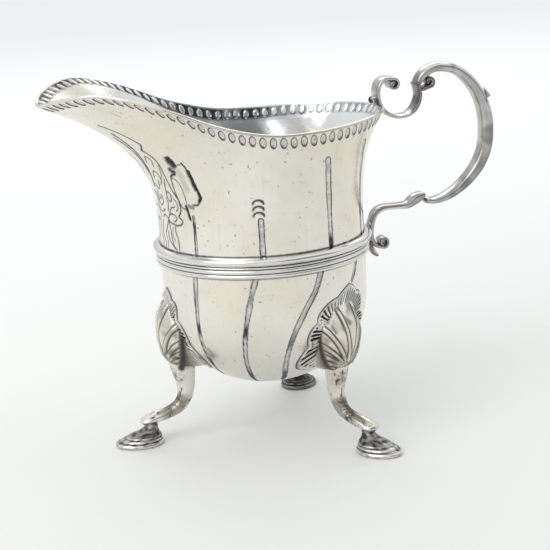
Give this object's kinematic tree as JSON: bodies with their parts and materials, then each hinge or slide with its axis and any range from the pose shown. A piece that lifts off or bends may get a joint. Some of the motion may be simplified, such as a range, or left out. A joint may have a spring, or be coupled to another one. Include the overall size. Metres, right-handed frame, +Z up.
{
  "type": "silver cream jug",
  "caption": "Small footed cream jug: raised bowl with wide pouring lip, reeded girdle, shell-kneed pad-foot legs and an open scroll handle.",
  "frame": {"origin": "on the standing surface, under the middle of the outline from the lip to the thumb spur", "axes": "+Z up; the lip points along -X and the handle along +X; body and handle mirror across the XZ plane, and the legs are set a few degrees unevenly"},
  "size_m": [0.146, 0.091, 0.1155],
  "materials": {
    "raised_silver": "polished raised silver with soft age patina",
    "drawn_silver": "polished drawn wire, dark in the grooves",
    "chased_silver": "chased silver, dark in the lines",
    "cast_silver": "cast silver with darker patina",
    "handle_silver": "cast silver, worn bright on its edges"
  },
  "bodies": {
    "root": {"body": "raised_silver", "girdle_bead": "drawn_silver", "girdle_reeding": "drawn_silver", "front_knee_plate": "chased_silver", "front_knee_shell": "cast_silver", "front_leg": "cast_silver", "front_foot": "cast_silver", "left_knee_plate": "chased_silver", "left_knee_shell": "cast_silver", "left_leg": "cast_silver", "left_foot": "cast_silver", "right_knee_plate": "chased_silver", "right_knee_shell": "cast_silver", "right_leg": "cast_silver", "right_foot": "cast_silver", "handle_upper_scroll": "handle_silver", "handle_grip": "handle_silver", "handle_volute": "handle_silver", "handle_thumb_spur": "handle_silver", "handle_lower_scroll": "handle_silver", "handle_tail_leaf": "handle_silver", "handle_rim_pellet": "handle_silver"}
  },
  "joints": []
}
